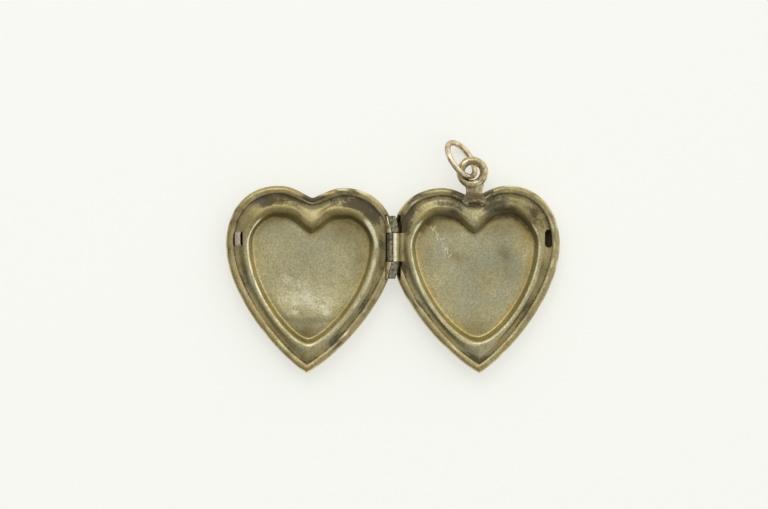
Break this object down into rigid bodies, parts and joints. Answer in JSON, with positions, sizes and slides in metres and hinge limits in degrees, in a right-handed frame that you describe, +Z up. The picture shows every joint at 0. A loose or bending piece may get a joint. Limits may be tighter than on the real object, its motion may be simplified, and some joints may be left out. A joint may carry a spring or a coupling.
{
  "type": "heart locket",
  "caption": "Heart-shaped hinged locket lying open, with domed covers, ridged liners, a snap tongue and a jump ring on a soldered bail.",
  "frame": {"origin": "middle of the base that the open locket lies on, under the middle of its bounding box", "axes": "+Y along the hinge pin towards the lobes, +X across the back cover, +Z up out of the recesses with the locket lying open"},
  "size_m": [0.044, 0.0308, 0.0052],
  "materials": {
    "gilt_shell": "worn gold-filled brass, tarnished in the folds",
    "gilt_liner": "satin gilt brass with dark tarnish in the trough",
    "hinge_tube": "tarnished tube with rubbed tops",
    "pin_wire": "drawn wire, filed flush",
    "spring_strip": "bright nickel-silver spring strip",
    "cast_bail": "polished casting, dull at the solder",
    "ring_wire": "polished pale rose-gold wire"
  },
  "bodies": {
    "back": {"back_cover_shell": "gilt_shell", "back_liner_plate": "gilt_liner", "back_hinge_knuckle": "hinge_tube", "bail_eyelet": "cast_bail"},
    "front": {"front_cover_shell": "gilt_shell", "front_liner_plate": "gilt_liner", "front_hinge_knuckle_upper": "hinge_tube", "front_hinge_knuckle_lower": "hinge_tube", "hinge_pin": "pin_wire", "snap_tongue": "spring_strip"},
    "jump_ring": {"jump_ring": "ring_wire"}
  },
  "joints": [
    {"name": "lid_hinge", "type": "hinge", "parent": "back", "child": "front", "pos_m": [0, 0.00115, 0.0029], "axis": [0, 1, 0], "range_deg": [0, 180]},
    {"name": "jump_ring_swing", "type": "hinge", "parent": "back", "child": "jump_ring", "pos_m": [0.01045, 0.01103, 0.00278], "axis": [0, 0, 1], "range_deg": [-110, 45]}
  ]
}
